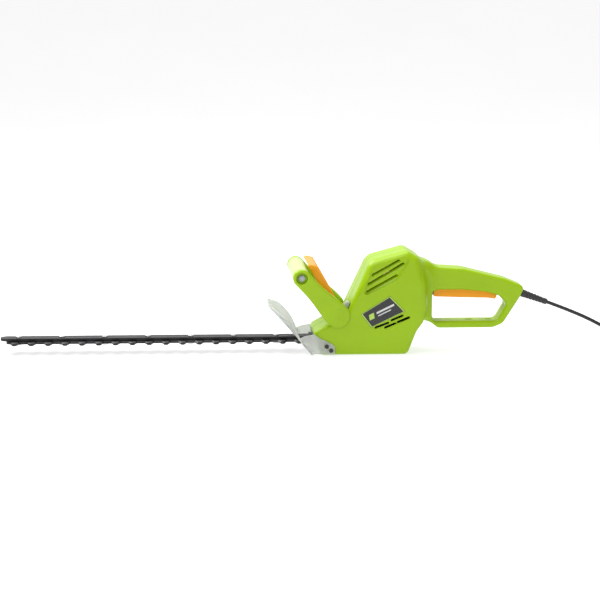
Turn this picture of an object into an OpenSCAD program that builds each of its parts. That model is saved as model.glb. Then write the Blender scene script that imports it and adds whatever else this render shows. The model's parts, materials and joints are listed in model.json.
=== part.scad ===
// Corded electric hedge trimmer with a two-sided blade.
// +X points to the rear handle, -X to the tip of the blade, +Z is up.
// The origin is the middle of the flat base, on the plane between the two housing halves.

/* [Housing] */
// Half of the width across the motor housing
body_half_w = 42; // [41:0.5:43]
// Half of the width of the rear handle
loop_half_w = 17.5; // [17:0.5:18.5]
// Wall thickness of the moulded housing
wall = 2.6; // [2.4:0.1:2.8]

/* [Blade] */
// Distance from one tooth to the next
tooth_pitch = 25.9; // [25.5:0.1:26]
// Number of teeth on each side of a blade
teeth = 18; // [14:1:18]
// Distance from the middle of the blade to a tooth's tip
tooth_reach = 28; // [26:0.5:29]
// Thickness of one blade
blade_t = 2; // [1.8:0.1:2]
// Travel of a blade to each side of its middle position
half_stroke = 6.5; // [6:0.1:6.5]

/* [Drive] */
// Gear module
gear_module = 0.9; // [0.9:0.1:0.9]
// Teeth on the large gear
gear_teeth = 72; // [72:1:72]
// Teeth on the motor pinion
pinion_teeth = 12; // [12:1:12]
// Radius of the motor's laminated stator
stator_r = 29; // [27:0.5:29]
// Height of the stator and armature stacks
stack_h = 44; // [38:1:44]

/* [Front handle] */
// Radius of the cross tube
grip_r = 13; // [12:0.5:13]
// Half of the distance between the two arms at the tube
grip_half_w = 58; // [56:1:60]

/* [Cord] */
// Diameter of the cord
cord_d = 5.5; // [5:0.1:6]

/* [Hidden] */
$fn = 48;
gap = 0.3;
fit_gap = 0.05;

// Housing outlines: x, z and corner radius, anticlockwise seen from the left side (-Y)
edge_r = 6.5;
body_corners = [
    [-73, 0, 8], [62, 0, 8], [76, 36, 26], [86, 50, 10], [92, 78, 20], [90, 112, 20],
    [78, 152, 14], [60, 163, 12], [2, 147, 14], [-34, 65, 2], [-86, 36, 8], [-79, 14, 60]
];
loop_corners = [
    [80, 53, 8], [97, 49, 12], [113, 36.5, 10], [200, 36.5, 20], [216, 43, 16], [241.5, 84, 40],
    [250, 101.5, 8], [218, 114.5, 30], [150, 131.5, 60], [110, 134, 30], [80, 150, 9]
];
opening_corners = [
    [102, 47.8, 9], [206, 47.8, 11], [221, 75, 7], [209, 87, 4], [190, 93.5, 20], [150, 97.5, 40],
    [102, 97.5, 6]
];
bar_hole_x = [164, 195];

// Housing screws, driven along Y: x and z
housing_screws_at = [
    [-66, 38], [54, 13], [-12, 95], [70, 141], [108, 122], [176, 116], [223, 66], [120, 42.2], [82, 62]
];
boss_r = 4;
screw_r = 1.5;
screw_head_y = 10;
screw_head_h = 2.5;

// Motor and drive, standing upright
gear_x = -9.8;
gear_centres = gear_module * (gear_teeth + pinion_teeth) / 2;
motor_x = gear_x + gear_centres;
gear_z = 30.4;
gear_h = 7;
spindle_r = 4.5;
shaft_r = 4;
pinion_shaft_r = 3;
stack_z = 66;
stack_top = stack_z + stack_h;
bore_r = 16.3;
coil_h = 5;
fan_z = 49;
fan_r = 27;
bearing_z = [42, 139];
eccentric_r = 14.3;
eccentric_z = [8.3, 24.6];
eccentric_h = [2.9, 5.2];
conrod_z = [11.6, 20.8];
conrod_t = 3.4;
stud_x = -62;
stud_r = 3;
conrod_len = norm([gear_x - stud_x, half_stroke]);
conrod_tilt = asin(half_stroke / conrod_len);
case_r = 38;
case_nose_r = 14;
case_wall = 2.4;
case_z = 8;
case_top = 42;
mount_plate_z = 24.6;
mount_plate_t = 4;
case_posts_at = [[-70, 27], [35, 30]];
bar_screws_at = [[-80, 18.5], [-56, 18.5]];

// Blades and guide bar
lower_blade_z = 16;
upper_blade_z = 18.2;
bar_z = 20.4;
bar_h = 4;
bar_half_w = 11;
bar_tip_x = -569;
bolt_x = [for (i = [0:6]) -141 - 66.7 * i];
first_tooth_x = -106;
blade_tail_x = -50;
blade_core = 13.5;
spacer_r = 4;

// Front handle and its switch bar
grip = [-106, 126];
foot = [-47, 62];
arm_r = grip_r + 0.4;
foot_r = 19;
arm_out = 12.5;
foot_y = body_half_w + gap;
foot_out = 9.5;
bar_pivot = [-53, 82];
pivot_r = 2.5;
front_screws_at = [[-50, 45.5], [-40, 47]];
rod_at = [-24, 68];
rod_r = 2.2;
rod_x = [-45.9, -15.2];

// Guard
guard_foot = [-85.2, 2];
guard_tilt = 47.6;
guard_t = 2.5;
wing_y = body_half_w + gap;
guard_outline = [
    [0, -44, 4], [16, -46, 20], [46, -68, 20], [78, -66, 24], [101, -34, 22],
    [101, 34, 22], [78, 66, 24], [46, 68, 20], [16, 46, 20], [0, 44, 4]
];
wing_outline = [
    [-86, 3], [-51, 1.5], [-52.6, 15.5], [-62.4, 21.7], [-74.6, 27], [-84, 34], [-100, 31], [-108, 27]
];
guard_screws_at = [[-65, 15], [-58, 8.5]];

// Rear trigger
trigger_pivot = [207, 97];
trigger_pin_r = 2;
trigger_corners = [
    [105, 86, 2.5], [150, 84.4, 60], [192, 83.4, 40], [203, 81.5, 1.5], [206, 86, 2],
    [200, 101.5, 2], [108, 103.5, 3]
];
plunger_x = 134;
plunger_r = 2.5;

// Cord: it leaves the handle 20 degrees below level
exit = [245.5, 89.8];
exit_drop = 20;
boot_len = 45;
cord_points = [
    [245.5, 0, 89.8], [266.6, 0, 82.1], [287.8, 0, 74.4], [310, 0, 66], [332, 0, 57.2],
    [352, 0, 48.4], [370, -0.3, 39.4], [388, -1, 29.6], [405, -2, 20], [422, -3.5, 11.6],
    [438, -6, 5.6], [453, -11, 3.2], [467, -20, 2.9], [477, -32, 2.8], [481, -46, 2.8],
    [478, -60, 2.8], [468, -71, 2.9], [454, -76, 3.6], [441, -74.5, 5.2], [431, -69, 6.6],
    [424, -63, 7.2]
];
inner_cord_points = [
    [245.4, 0, 89.84], [232, 0, 94.7], [218, 0, 100], [206, 0, 107.2], [192, 0, 110],
    [178, 0, 109.2], [171, 0, 109]
];
plug_turn = 139;
clamp_at = [218, 100];
clamp_along = [0.933, -0.361];
clamp_across = [0.361, 0.933];
clamp_screws_at = [clamp_at + 7.4 * clamp_across, clamp_at - 7.4 * clamp_across];

// ---- Outlines ----

function unit(v) = v / norm(v);

function corner_arc(a, p, b, r, n) =
    let (u = unit(a - p), v = unit(b - p), half = acos(u * v) / 2, reach = r / tan(half),
         c = p + unit(u + v) * r / sin(half), s = p + u * reach - c, e = p + v * reach - c,
         from = atan2(s.y, s.x), diff = atan2(e.y, e.x) - from,
         turn = diff > 180 ? diff - 360 : diff < -180 ? diff + 360 : diff)
    [for (i = [0:n]) c + r * [cos(from + turn * i / n), sin(from + turn * i / n)]];

// An outline with its corners rounded. Each corner is x, z and its radius
function rounded(corners, n = 3) =
    let (m = len(corners), xz = [for (c = corners) [c[0], c[1]]])
    [for (i = [0:m - 1]) each corner_arc(xz[(i + m - 1) % m], xz[i], xz[(i + 1) % m], corners[i][2], n)];

function inward(a, b) = let (d = unit(b - a)) [-d.y, d.x];

// The outline moved inwards by d, or outwards where d is negative
function inset(pts, d) =
    let (m = len(pts))
    [for (i = [0:m - 1])
        let (n1 = inward(pts[(i + m - 1) % m], pts[i]), n2 = inward(pts[i], pts[(i + 1) % m]))
        pts[i] + (n1 + n2) * d / (1 + n1 * n2)];

// An outline in X and Z, extruded from y0 to y1
module prism(outline, y0, y1) {
    translate([0, y1, 0]) rotate([90, 0, 0]) linear_extrude(y1 - y0) polygon(outline);
}

// A rod along Y at an x, z point
module rod_y(at, r, y0, y1) {
    translate([at[0], y1, at[1]]) rotate([90, 0, 0]) cylinder(r = r, h = y1 - y0);
}

// The children on the left side (-1), or on the right side (1) as they are drawn
module on_side(side) {
    mirror([0, side < 0 ? 1 : 0, 0]) children();
}

// A slab from y = start to half_w, with its edges rounded at half_w. Its flat ends are fans about the middle
module slab(outline, start, half_w, r, steps = 3) {
    m = len(outline);
    rows = concat([[start, 0]], [for (k = [0:steps]) let (a = 90 * k / steps)
        [half_w - r + r * sin(a), r * (1 - cos(a))]]);
    last = len(rows) - 1;
    middle = [for (p = outline) 1 / m] * outline;
    points = concat([for (row = rows) for (p = inset(outline, row[1])) [p.x, row[0], p.y]],
        [for (y = [start, half_w]) [middle.x, y, middle.y]]);
    near = len(rows) * m;
    sides = [for (j = [0:last - 1]) for (i = [0:m - 1])
        let (k = (i + 1) % m, a = j * m + i, b = j * m + k, c = b + m, d = a + m)
        each [[a, b, c], [a, c, d]]];
    ends = [for (i = [0:m - 1]) let (k = (i + 1) % m)
        each [[near, k, i], [near + 1, last * m + i, last * m + k]]];
    polyhedron(points, concat(ends, sides));
}

// A round tube swept along points, with its rings square to the path
module swept(path, r, sides) {
    m = len(path);
    rings = [for (i = [0:m - 1])
        let (t = unit(path[min(i + 1, m - 1)] - path[max(i - 1, 0)]),
             u = unit(cross(t, abs(t.z) > 0.9 ? [0, 1, 0] : [0, 0, 1])), v = cross(t, u))
        [for (k = [0:sides - 1]) path[i] + r * (u * cos(360 * k / sides) + v * sin(360 * k / sides))]];
    skin = [for (i = [0:m - 2]) for (k = [0:sides - 1])
        let (a = i * sides + k, b = i * sides + (k + 1) % sides, c = b + sides, d = a + sides)
        each [[a, b, c], [a, c, d]]];
    ends = [[for (k = [sides - 1:-1:0]) k], [for (k = [0:sides - 1]) (m - 1) * sides + k]];
    polyhedron([for (ring = rings) each ring], concat(skin, ends));
}

// A straight-sided gear outline
function gear_outline(z, m) =
    [for (i = [0:z - 1]) for (p = [[-0.31, -1.2], [-0.13, 0.95], [0.13, 0.95], [0.31, -1.2]])
        let (a = 360 * (i + p[0]) / z, r = m * (z / 2 + p[1])) r * [cos(a), sin(a)]];

module ring(r_out, r_in, h) {
    difference() {
        cylinder(r = r_out, h = h);
        translate([0, 0, -1]) cylinder(r = r_in, h = h + 2);
    }
}

// ---- Housing ----

module body_neck(start, shrink) {
    ends = [[66, 62, 24, 14], [66, 134, 24, 14], [109, 58, 8.3, 8.3], [109, 123, 8.3, 8.3]];
    hull() for (e = ends) {
        translate([e[0], e[2], e[1]]) sphere(r = e[3] - shrink, $fn = 20);
        rod_y([e[0], e[1]], e[3] - shrink, start, e[2], $fn = 20);
    }
}

// The right half's outer form, or its inner form one wall inside it
module housing_form(start, shrink) {
    slab(inset(rounded(body_corners), shrink), start, body_half_w - shrink, edge_r - shrink);
    slab(inset(rounded(loop_corners), shrink), start, loop_half_w - shrink, edge_r - shrink);
    body_neck(start, shrink);
}

// A slot through both side walls, from one x, z point to another
module vent_slot(from, to, width) {
    depth = 12;
    for (y = [-body_half_w - 2, body_half_w + 2 - depth])
        translate([from.x, y, from.y]) rotate([0, -atan2(to.y - from.y, to.x - from.x), 0])
            translate([0, 0, -width / 2]) cube([norm(to - from), depth, width]);
}

module vents() {
    vent_slot([9, 126], [47, 146.5], 3);
    vent_slot([1, 110], [53, 141.5], 4);
    vent_slot([-1, 98.5], [44, 123.5], 3);
    vent_slot([36, 55], [53, 62], 3);
    vent_slot([46, 52], [63, 59], 3.5);
    vent_slot([11, 43.5], [31, 51], 3);
    vent_slot([26, 43.5], [42, 50], 3);
}

module housing_ribs(side) {
    on_side(side) {
        for (at = housing_screws_at) rod_y(at, boss_r, 0, at.x > 100 ? loop_half_w - 1 : body_half_w - 1);
        // ribs that hold the stator
        for (x = [-12, 12]) translate([motor_x + x - 1.5, 27, stack_z]) cube([3, 14, stack_h]);
        // posts under the gearcase
        for (at = case_posts_at) translate([at.x, at.y, 1]) cylinder(r = 3.6, h = mount_plate_z - 1.1);
        rod_y(trigger_pivot, 4.5, 10, 16);
        // pads behind the guard screws
        for (at = guard_screws_at) rod_y(at, 4, 34, body_half_w - 1);
        intersection() {
            union() {
                // baffle between the motor and its fan
                translate([motor_x, 0, 57.2]) ring(body_half_w - 1, 30, 3.2);
                // seat of the upper motor bearing
                translate([motor_x, 0, bearing_z[1]]) ring(12.5, 9.55, 149.5 - bearing_z[1]);
            }
            translate([5, 0, 0]) cube([100, 60, 200]);
        }
    }
    // pillars of the cord clamp
    if (side < 0) for (at = clamp_screws_at) rod_y(at, 3.2, -16, 0);
}

module housing_cuts() {
    prism(rounded(opening_corners), -50, 50);
    vents();
    // mouth of the blade
    translate([-100, -32, 10.5]) cube([40, 64, 18.6]);
    // slot of the trigger
    prism([[103.2, 78], [207, 78], [207, 100], [204, 103.6], [103.2, 103.6]], -10, 10);
    rod_y(trigger_pivot, trigger_pin_r + fit_gap, -14.2, 14.2);
    // passage of the push rod, and room for the switch behind it
    translate([-50, rod_at.x, rod_at.y]) rotate([0, 90, 0]) cylinder(r = 3, h = 34);
    translate([-16, -35, 56]) cube([20, 22, 24]);
    // hole of the cord boot
    translate([exit.x, 0, exit.y]) rotate([0, 90 + exit_drop, 0]) {
        translate([0, 0, -8]) cylinder(r = 4.65, h = 12);
        translate([0, 0, -8]) cylinder(r = 6.7, h = 4.5);
        translate([0, 0, 0.6]) cylinder(r = 6.4, h = 6);
    }
    // drain holes in the lower bar
    for (x = bar_hole_x) translate([x, 0, 40]) {
        for (dx = [-3, 3]) translate([dx, 0, 0]) cylinder(r = 3, h = 12);
        translate([-3, -3, 0]) cube([6, 6, 12]);
    }
    for (at = housing_screws_at) {
        rod_y(at, screw_r + fit_gap, -12.2, 0.1);
        rod_y(at, screw_r + 0.2, 0, screw_head_y + 0.1);
        rod_y(at, 3.3, screw_head_y, 60);
    }
    for (s = [-1, 1]) {
        on_side(s) for (at = front_screws_at) rod_y(at, 2.1, 36, 46);
        on_side(s) for (at = guard_screws_at) rod_y(at, 2.05, 35, 46);
        for (at = case_posts_at) translate([at.x, s * at.y, 12]) cylinder(r = 1.85, h = 14);
    }
    for (at = clamp_screws_at) rod_y(at, 1.35, -8.2, 0.1);
}

module housing_half(side) {
    difference() {
        union() {
            on_side(side) difference() {
                housing_form(0, 0);
                difference() {
                    housing_form(-1, wall);
                    prism(inset(rounded(opening_corners), -wall), -2, 50);
                }
            }
            housing_ribs(side);
        }
        housing_cuts();
    }
}

module housing_left() {
    color("yellowgreen") housing_half(-1);
}

module housing_right() {
    color("yellowgreen") housing_half(1);
}

module housing_screws() {
    color("dimgray") for (at = housing_screws_at) {
        rod_y(at, screw_r, -12, screw_head_y);
        rod_y(at, 3, screw_head_y, screw_head_y + screw_head_h);
    }
}

module label(side) {
    outline = [[4.5, 43.5], [57, 69], [33, 93], [-12, 65]];
    y = side * (body_half_w + 0.25);
    color("#333336") prism(outline, y - 0.2, y + 0.2);
}

module label_left() {
    label(-1);
}

module label_right() {
    label(1);
}

// ---- Front handle ----

module front_arm() {
    color("yellowgreen") difference() {
        hull() {
            rod_y(grip, arm_r, grip_half_w, grip_half_w + arm_out);
            rod_y(foot, foot_r, foot_y, foot_y + foot_out);
        }
        rod_y(grip, grip_r + fit_gap, 0, grip_half_w);
        rod_y(grip, 8.8, grip_half_w + 5, grip_half_w + 20);
        rod_y(grip, 3.1, grip_half_w - 5, grip_half_w + 20);
        rod_y(bar_pivot, pivot_r + fit_gap, 30, 50);
        for (at = front_screws_at) rod_y(at, 1.9, 30, 48.2);
    }
}

module front_arm_left() {
    mirror([0, 1, 0]) front_arm();
}

module front_arm_right() {
    front_arm();
}

module front_grip_tube() {
    length = 2 * grip_half_w - 0.1;
    color("greenyellow") translate([grip.x, length / 2, grip.y]) rotate([90, 0, 0])
        ring(grip_r, 10, length);
}

module grip_tie_rod() {
    color("silver") {
        rod_y(grip, 3, -grip_half_w - 9, grip_half_w + 9);
        for (y = [-grip_half_w - 8.5, grip_half_w + 5.1])
            translate([grip.x, y + 3.4, grip.y]) rotate([90, 0, 0]) cylinder(r = 5, h = 3.4, $fn = 6);
    }
}

module front_handle_screws() {
    color("silver") for (s = [-1, 1]) on_side(s) for (at = front_screws_at) {
        rod_y(at, 3.5, 36.9, 39.3);
        rod_y(at, 1.85, 39, 48);
    }
}

module front_switch_bar() {
    section = [[-92.5, 138], [-82, 133], [-80.5, 141], [-95, 144]];
    color("orange") difference() {
        union() {
            prism(section, -45, 45);
            for (s = [-1, 1]) on_side(s) hull() {
                prism(section, 40, 45);
                rod_y(bar_pivot, 6.5, 36, 41.2);
            }
            // finger that pushes the rod
            translate([-52, -41, 63]) cube([5.8, 23, 13]);
        }
        rod_y(bar_pivot, pivot_r + fit_gap, -60, 60);
    }
}

module switch_bar_pins() {
    color("silver") for (s = [-1, 1]) on_side(s) rod_y(bar_pivot, pivot_r, 35, 49.5);
}

module push_rod() {
    color("dimgray") translate([rod_x[0], rod_at.x, rod_at.y]) rotate([0, 90, 0])
        cylinder(r = rod_r, h = rod_x[1] - rod_x[0]);
}

module rod_boot() {
    outline = [[-40, 62.1], [-34.5, 65.35], [-27.4, 81], [-31.5, 83.5], [-36, 80], [-40, 72]];
    color("slategray") difference() {
        prism(outline, rod_at.x - 9, rod_at.x + 9);
        translate([-50, rod_at.x, rod_at.y]) rotate([0, 90, 0]) cylinder(r = rod_r + 0.2, h = 30);
    }
}

module front_switch() {
    color("dimgray") translate([-14, -34, 58]) cube([15, 19, 20]);
}

// ---- Guard ----

module hand_guard() {
    color("whitesmoke", 0.6) difference() {
        union() {
            translate([guard_foot.x, 0, guard_foot.y]) rotate([0, 180 + guard_tilt, 0])
                translate([0, 0, -guard_t]) linear_extrude(guard_t) polygon(rounded(guard_outline));
            for (s = [-1, 1]) on_side(s) prism(wing_outline, wing_y, wing_y + guard_t);
        }
        translate([-125, -31, 11]) cube([50, 62, 16.5]);
        for (at = guard_screws_at) rod_y(at, 2.15, -60, 60);
    }
}

module guard_screws() {
    face = wing_y + guard_t;
    color("#222222") for (s = [-1, 1]) on_side(s) for (at = guard_screws_at) {
        rod_y(at, 3.3, face, face + 2);
        rod_y(at, 2, 36, face);
    }
}

// ---- Blade ----

module blade_outline() {
    root = 8.2;
    tip = 4.2;
    tip_x = first_tooth_x - tooth_pitch * (teeth - 1) - 13;
    side = concat(
        [[blade_tail_x, blade_core - 1], [-97, blade_core - 1]],
        [for (i = [0:teeth - 1]) let (x = first_tooth_x - tooth_pitch * i)
            each [[x + root, blade_core], [x + tip, tooth_reach], [x - tip, tooth_reach], [x - root, blade_core]]],
        [[tip_x, blade_core - 3]]);
    n = len(side);
    polygon(concat(side, [for (i = [n - 1:-1:0]) [side[i].x, -side[i].y]]));
}

module blade() {
    linear_extrude(blade_t) difference() {
        blade_outline();
        for (x = bolt_x) translate([x, 0]) {
            square([2 * (half_stroke + 0.3), 2 * spacer_r + 0.2], center = true);
            for (s = [-1, 1]) translate([s * (half_stroke + 0.3), 0]) circle(r = spacer_r + 0.1);
        }
    }
}

module upper_blade() {
    color("dimgray") {
        translate([0, 0, upper_blade_z]) blade();
        translate([stud_x, 0, upper_blade_z + 1]) cylinder(r = stud_r, h = 4.8);
    }
}

module lower_blade() {
    color("dimgray") {
        translate([0, 0, lower_blade_z]) blade();
        translate([stud_x, 0, conrod_z[0] + 0.2]) cylinder(r = stud_r, h = 5);
    }
}

module guide_bar() {
    color("#26262a") translate([0, 0, bar_z]) difference() {
        union() {
            translate([bar_tip_x + bar_half_w, -bar_half_w, 0])
                cube([-80 - bar_tip_x - bar_half_w, 2 * bar_half_w, bar_h]);
            translate([bar_tip_x + bar_half_w, 0, 0]) cylinder(r = bar_half_w, h = bar_h);
            translate([-88, -24, 0]) cube([38, 48, bar_h]);
        }
        translate([-76, -13, -1]) cube([40, 26, bar_h + 2]);
        for (x = bolt_x) translate([x, 0, -1]) cylinder(r = 2.55, h = bar_h + 2);
        for (s = [-1, 1]) for (at = bar_screws_at) translate([at.x, s * at.y, -1]) cylinder(r = 2.5, h = bar_h + 2);
    }
}

module guide_bar_screws() {
    color("silver") for (s = [-1, 1]) for (at = bar_screws_at) translate([at.x, s * at.y, 0]) {
        translate([0, 0, bar_z - 3.4]) cylinder(r = 4, h = 3.4, $fn = 6);
        translate([0, 0, bar_z - 1]) cylinder(r = 2.4, h = mount_plate_z + mount_plate_t - bar_z + 1);
    }
}

module blade_bolts() {
    color("silver") for (x = bolt_x) translate([x, 0, 0]) {
        translate([0, 0, bar_z + bar_h]) cylinder(r = 4.6, h = 1.8);
        translate([0, 0, 11.6]) cylinder(r = 2.5, h = bar_z + bar_h - 11.5);
    }
}

module blade_spacers() {
    color("silver") for (x = bolt_x) translate([x, 0, lower_blade_z - 0.1])
        ring(spacer_r, 2.52, bar_z - lower_blade_z + 0.05);
}

module blade_nuts() {
    color("silver") for (x = bolt_x) translate([x, 0, lower_blade_z - 3.9]) difference() {
        union() {
            cylinder(r = 4.6, h = 3, $fn = 6);
            translate([0, 0, 2.8]) cylinder(r = 5.4, h = 0.9);
        }
        translate([0, 0, -1]) cylinder(r = 2.52, h = 6);
    }
}

// ---- Drive ----

module case_outline(d) {
    translate([gear_x, 0]) circle(r = case_r - d);
    translate([motor_x, 0]) circle(r = case_nose_r - d);
    polygon([[gear_x + 10, d - 36.6], [motor_x, d - case_nose_r], [motor_x, case_nose_r - d], [gear_x + 10, 36.6 - d]]);
}

module gearcase() {
    color("lightgray") difference() {
        union() {
            translate([0, 0, case_z]) linear_extrude(case_top - case_z) case_outline(0);
            translate([gear_x, 0, case_top - 1]) cylinder(r = 10.5, h = 5.4);
            translate([motor_x, 0, case_top - 1]) cylinder(r = 12, h = 6);
            translate([-84, -31.5, mount_plate_z]) cube([44, 63, mount_plate_t]);
            for (s = [-1, 1]) translate([31, s > 0 ? 12.5 : -34, mount_plate_z]) cube([8, 21.5, mount_plate_t]);
        }
        translate([0, 0, case_z - 1]) linear_extrude(case_top - 3.5 - case_z + 1) case_outline(case_wall);
        translate([-52, -31, case_z - 1]) cube([30, 62, mount_plate_z - case_z + 1]);
        translate([gear_x, 0, 30]) cylinder(r = 6, h = 20);
        translate([gear_x, 0, bearing_z[0]]) cylinder(r = 8.02, h = 8);
        translate([motor_x, 0, 30]) cylinder(r = 6.5, h = 20);
        translate([motor_x, 0, bearing_z[0]]) cylinder(r = 9.52, h = 8);
        for (s = [-1, 1]) {
            for (at = case_posts_at) translate([at.x, s * at.y, 20]) cylinder(r = 1.9, h = 12);
            for (at = bar_screws_at) translate([at.x, s * at.y, 20]) cylinder(r = 2.42, h = 12);
        }
    }
}

module gearcase_cover() {
    color("lightgray") difference() {
        union() {
            translate([0, 0, 5.4]) linear_extrude(2.5) case_outline(0);
            translate([gear_x, 0, 3]) cylinder(r = 10.5, h = 4);
        }
        translate([gear_x, 0, 3.6]) cylinder(r = 8.02, h = 6);
        translate([gear_x, 0, 0]) cylinder(r = 6, h = 8);
    }
}

module gearcase_screws() {
    color("silver") for (s = [-1, 1]) for (at = case_posts_at) translate([at.x, s * at.y, 0]) {
        translate([0, 0, mount_plate_z + mount_plate_t]) cylinder(r = 3.3, h = 2.4);
        translate([0, 0, 13]) cylinder(r = 1.8, h = mount_plate_z + mount_plate_t - 12.5);
    }
}

module spindle_bearings() {
    color("silver") for (z = [3.7, bearing_z[0] + 0.1]) translate([gear_x, 0, z])
        ring(8, spindle_r + fit_gap, 4);
}

module gear_spindle() {
    color("gray") translate([gear_x, 0, 3.6]) cylinder(r = spindle_r, h = 42.6);
}

module drive_gear() {
    color("tan") translate([gear_x, 0, gear_z]) difference() {
        linear_extrude(gear_h) polygon(gear_outline(gear_teeth, gear_module));
        translate([0, 0, -1]) cylinder(r = spindle_r + 0.02, h = gear_h + 2);
        for (a = [0:60:300]) rotate(a) translate([20, 0, -1]) cylinder(r = 5, h = gear_h + 2);
    }
}

module eccentric(level, side) {
    color("gray") translate([gear_x, 0, eccentric_z[level]]) difference() {
        translate([0, side * half_stroke, 0]) cylinder(r = eccentric_r, h = eccentric_h[level]);
        translate([0, 0, -1]) cylinder(r = spindle_r + 0.02, h = eccentric_h[level] + 2);
    }
}

module upper_eccentric() {
    eccentric(1, 1);
}

module lower_eccentric() {
    eccentric(0, -1);
}

// From the blade's stud to the eccentric, which stands to one side at mid-stroke
module conrod(level, side) {
    color("darkgray") translate([stud_x, 0, conrod_z[level]]) rotate(side * conrod_tilt) difference() {
        union() {
            cylinder(r = 6, h = conrod_t);
            translate([0, -4.5, 0]) cube([conrod_len - 14, 9, conrod_t]);
            translate([conrod_len, 0, 0]) cylinder(r = eccentric_r + 3.7, h = conrod_t);
        }
        translate([0, 0, -1]) cylinder(r = stud_r + fit_gap, h = conrod_t + 2);
        translate([conrod_len, 0, -1]) cylinder(r = eccentric_r + 0.2, h = conrod_t + 2);
    }
}

module upper_conrod() {
    conrod(1, 1);
}

module lower_conrod() {
    conrod(0, -1);
}

module motor_bearings() {
    color("silver") for (z = bearing_z) translate([motor_x, 0, z + 0.1])
        ring(9.5, shaft_r + fit_gap, 5);
}

module armature_shaft() {
    color("gray") translate([motor_x, 0, 0]) {
        translate([0, 0, 29.5]) cylinder(r = pinion_shaft_r, h = 12);
        translate([0, 0, 41]) cylinder(r = shaft_r, h = 105);
    }
}

module pinion() {
    // turned by half a tooth where the gear has a tooth on the line of centres
    color("gray") translate([motor_x, 0, gear_z - 0.4]) difference() {
        rotate(180 / pinion_teeth) linear_extrude(gear_h + 0.8) polygon(gear_outline(pinion_teeth, gear_module));
        translate([0, 0, -1]) cylinder(r = pinion_shaft_r + 0.02, h = gear_h + 3);
    }
}

module cooling_fan() {
    blades = 11;
    color("#303034") translate([motor_x, 0, fan_z]) difference() {
        union() {
            cylinder(r = fan_r, h = 1.6);
            cylinder(r = 8, h = 7);
            for (i = [0:blades - 1]) rotate(360 * i / blades) translate([7, -0.8, 0]) cube([fan_r - 8, 1.6, 7]);
        }
        translate([0, 0, -1]) cylinder(r = shaft_r + 0.02, h = 10);
    }
}

module armature_core() {
    slots = 12;
    color("gray") translate([motor_x, 0, stack_z]) difference() {
        cylinder(r = bore_r - 0.6, h = stack_h);
        translate([0, 0, -1]) cylinder(r = shaft_r + 0.02, h = stack_h + 2);
        for (i = [0:slots - 1]) rotate(360 * i / slots) translate([10, -0.9, -1]) cube([8, 1.8, stack_h + 2]);
    }
}

module armature_winding() {
    color("peru") translate([motor_x, 0, 0]) for (z = [stack_z - 8.1, stack_top + 0.1]) translate([0, 0, z])
        rotate_extrude() polygon([[shaft_r + 0.1, 0], [11, 0], [13.5, 2.5], [13.5, 5.5], [11, 8], [shaft_r + 0.1, 8]]);
}

module commutator() {
    bars = 24;
    color("peru") translate([motor_x, 0, 121]) difference() {
        cylinder(r = 11, h = 12);
        translate([0, 0, -1]) cylinder(r = shaft_r + 0.02, h = 14);
        for (i = [0:bars - 1]) rotate(360 * i / bars) translate([10, -0.25, -1]) cube([3, 0.5, 14]);
    }
}

module stator_core() {
    color("lightslategray") translate([motor_x, 0, stack_z]) difference() {
        cylinder(r = stator_r, h = stack_h);
        translate([0, 0, -1]) cylinder(r = bore_r, h = stack_h + 2);
        for (x = [-23, 16.2]) translate([x, -13, -1]) cube([6.8, 26, stack_h + 2]);
    }
}

module field_coils() {
    color("chocolate") translate([motor_x, 0, 0]) for (s = [-1, 1]) {
        for (x = [-22.6, 17.2]) {
            translate([x, s > 0 ? 1.5 : -12.5, stack_z - coil_h]) cube([5.4, 11, stack_h + 2 * coil_h]);
            for (z = [stack_z - coil_h, stack_top + 0.1])
                translate([x, s > 0 ? 1.5 : -21, z]) cube([5.4, 19.5, coil_h - 0.1]);
        }
        for (z = [stack_z - coil_h, stack_top + 0.1])
            translate([-22.6, s > 0 ? 15 : -21, z]) cube([45.2, 6, coil_h - 0.1]);
    }
}

module brush_holders() {
    color("goldenrod") translate([motor_x, 0, 0]) for (s = [-1, 1]) difference() {
        translate([-4.6, s > 0 ? 13 : -33, 122.4]) cube([9.2, 20, 9.2]);
        translate([-3.1, s > 0 ? 12 : -31, 124]) cube([6.2, 19, 6.2]);
    }
}

module carbon_brushes() {
    color("#2a2a2a") translate([motor_x, 0, 0]) for (s = [-1, 1])
        translate([-3, s > 0 ? 11.2 : -26, 124.1]) cube([6, 14.8, 6]);
}

// ---- Rear handle ----

module rear_trigger() {
    color("orange") difference() {
        union() {
            prism(rounded(trigger_corners), -9.5, 9.5);
            rod_y(trigger_pivot, 5, -4.5, 4.5);
            translate([198, -4.5, 92]) cube([9, 9, 9.4]);
        }
        rod_y(trigger_pivot, trigger_pin_r + fit_gap, -20, 20);
        // room for the spring beside the eye
        for (y = [-9.6, 4.6]) rod_y(trigger_pivot, 5.5, y, y + 5);
    }
}

module trigger_pin() {
    color("silver") rod_y(trigger_pivot, trigger_pin_r, -14, 14);
}

module trigger_spring() {
    turns = 5;
    steps = 12;
    path = [for (i = [0:turns * steps]) let (a = 360 * i / steps)
        [trigger_pivot.x + 2.9 * cos(a), 5.2 + 3.9 * i / (turns * steps), trigger_pivot.y + 2.9 * sin(a)]];
    color("silver") swept(path, 0.35, 6);
}

module rear_switch() {
    color("dimgray") difference() {
        translate([126, -7.5, 112]) cube([28, 15, 14]);
        translate([plunger_x, 0, 111]) cylinder(r = plunger_r + 0.1, h = 11.5);
    }
}

module rear_plunger() {
    color("white") translate([plunger_x, 0, 103.4]) cylinder(r = plunger_r, h = 13.6);
}

module capacitor() {
    color("gold") translate([68, -10, 86]) cube([15, 20, 24]);
}

module terminal_block() {
    color("white") translate([157, -8, 113]) cube([12, 16, 7]);
}

// ---- Cord ----

module inner_cord() {
    color("#202020") swept(inner_cord_points, cord_d / 2, 10);
}

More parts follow.
